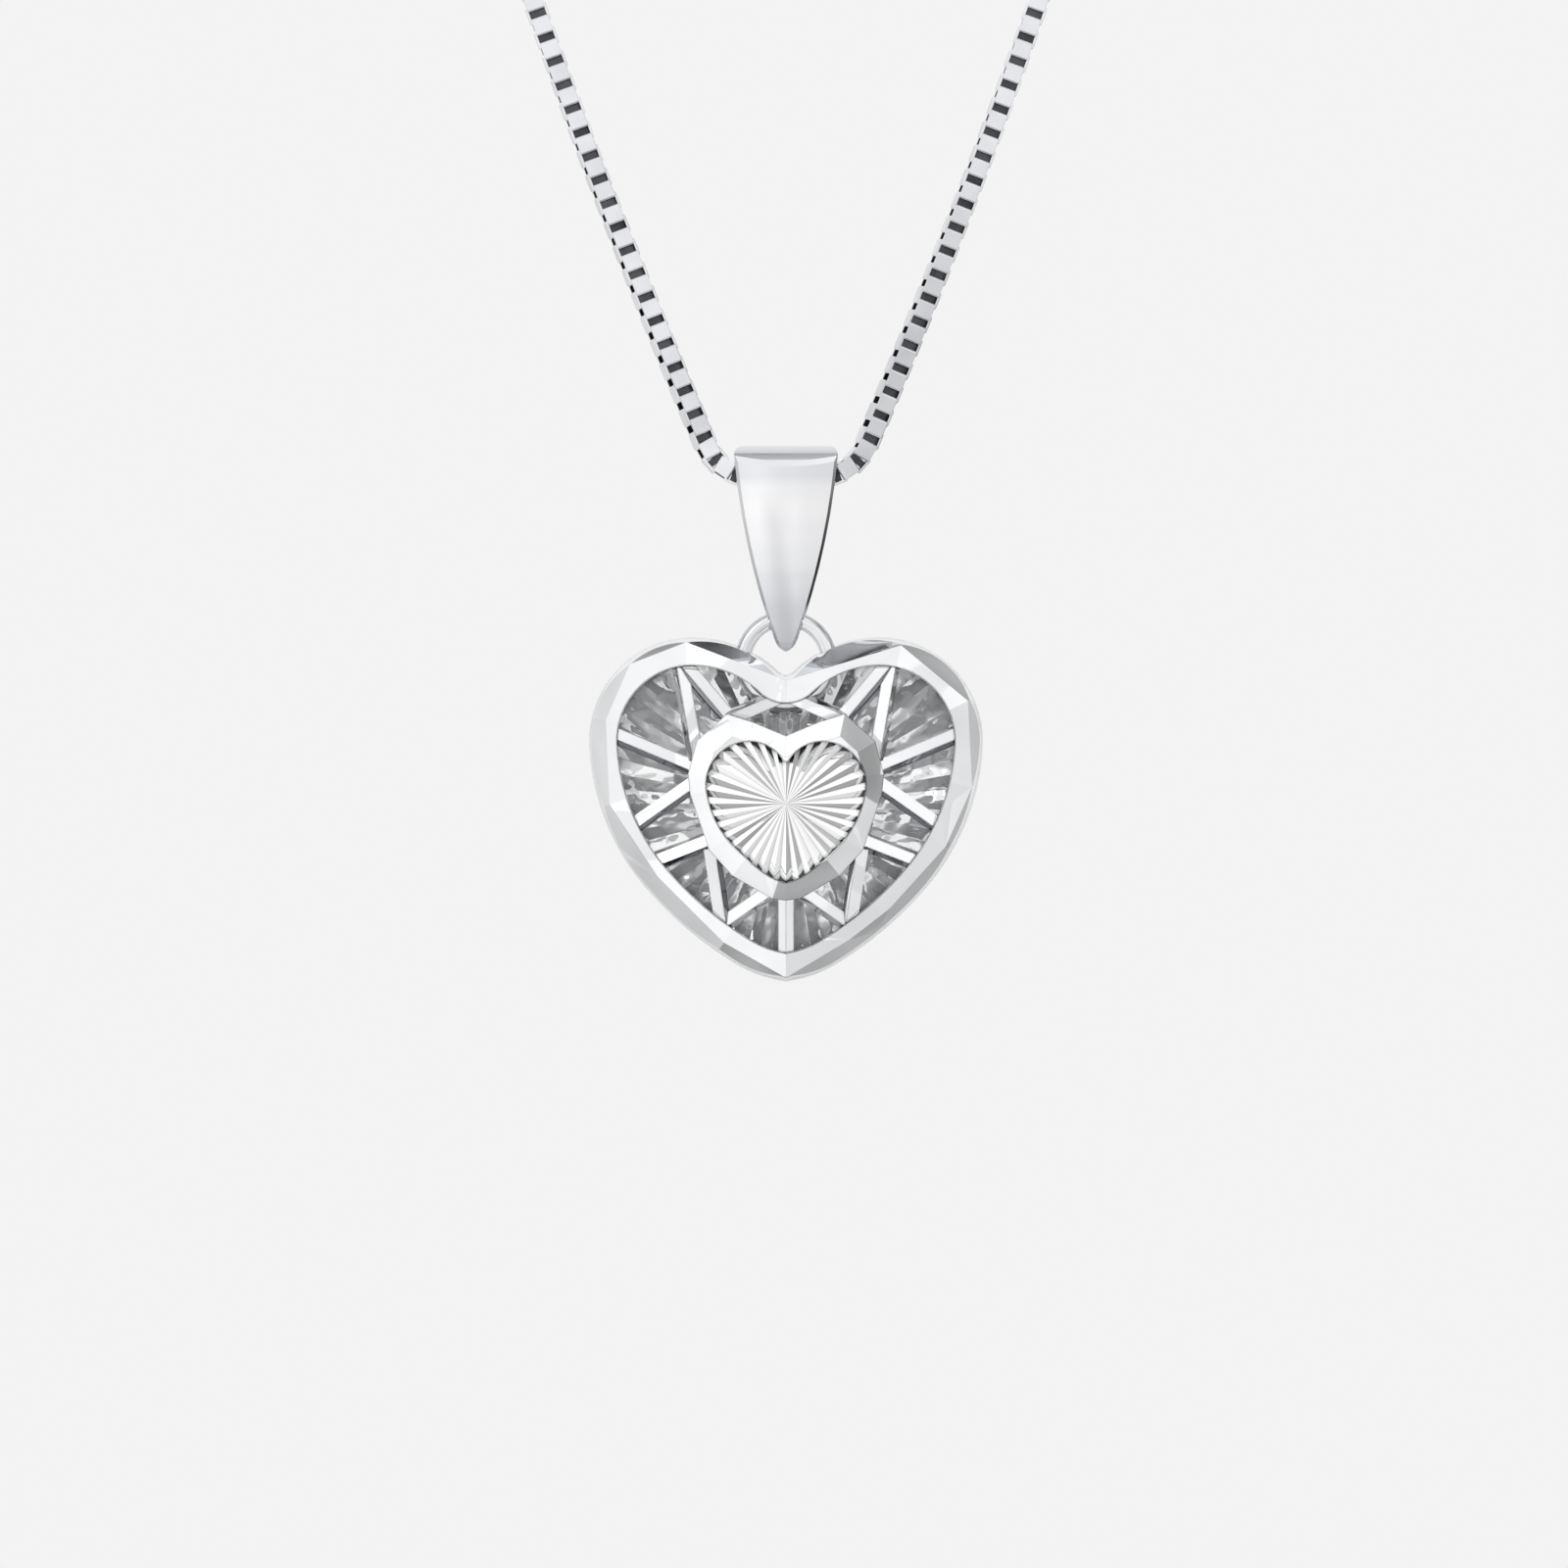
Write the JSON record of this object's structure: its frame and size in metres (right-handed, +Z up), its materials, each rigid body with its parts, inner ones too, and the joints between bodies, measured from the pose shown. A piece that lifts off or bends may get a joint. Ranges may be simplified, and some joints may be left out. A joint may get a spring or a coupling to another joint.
{
  "type": "heart pendant",
  "caption": "Diamond-cut openwork heart pendant on a round ring and a tapered bail, hung on a box chain that ends in rings and a spring-ring clasp.",
  "frame": {"origin": "middle of the chain's run through the bail, on the axis that the bail swings on", "axes": "+Z up along the hanging pendant, the heart's front faces -Y, +X to the viewer's right"},
  "size_m": [0.0221, 0.0036, 0.0398],
  "materials": {
    "cut_silver": "bright diamond-cut facets",
    "fluted_silver": "bright, pressed in fine flutes",
    "polished_silver": "polished, rhodium plated",
    "chain_silver": "polished with fine drawing lines",
    "spring_steel": "drawn wire"
  },
  "bodies": {
    "necklace": {"chain_run_in_bail": "chain_silver", "chain_right_edge_links": "chain_silver", "chain_right_face_links": "chain_silver", "chain_left_edge_links": "chain_silver", "chain_left_face_links": "chain_silver", "end_ring_left": "chain_silver", "end_ring_right": "chain_silver", "clasp_tube_ring": "polished_silver", "clasp_spring": "spring_steel", "clasp_eye": "polished_silver"},
    "clasp_trigger": {"clasp_bolt": "polished_silver", "clasp_thumb_knob": "polished_silver"},
    "bail": {"bail": "polished_silver"},
    "ring": {"hanging_ring": "polished_silver"},
    "heart": {"front_cage": "cut_silver", "inner_bezel": "cut_silver", "sunburst_plate": "cut_silver", "fluted_reflector": "fluted_silver", "back_shell": "polished_silver"}
  },
  "joints": [
    {"name": "bail_swing", "type": "hinge", "parent": "necklace", "child": "bail", "pos_m": [0, 0, 0], "axis": [1, 0, 0], "range_deg": [-90, 90]},
    {"name": "ring_swing", "type": "hinge", "parent": "bail", "child": "ring", "pos_m": [0, 0, -0.00466], "axis": [1, 0, 0], "range_deg": [-45, 45]},
    {"name": "heart_turn", "type": "hinge", "parent": "ring", "child": "heart", "pos_m": [0, 0, -0.00609], "axis": [0, 1, 0], "range_deg": [-35, 35]},
    {"name": "clasp_trigger_turn", "type": "hinge", "parent": "necklace", "child": "clasp_trigger", "pos_m": [-0.01005, 0, 0.02057], "axis": [0, -1, 0], "range_deg": [0, 70], "stiffness_Nm_per_rad": 0.0004, "springref_deg": -20.05, "deforming": ["clasp_spring"]}
  ]
}
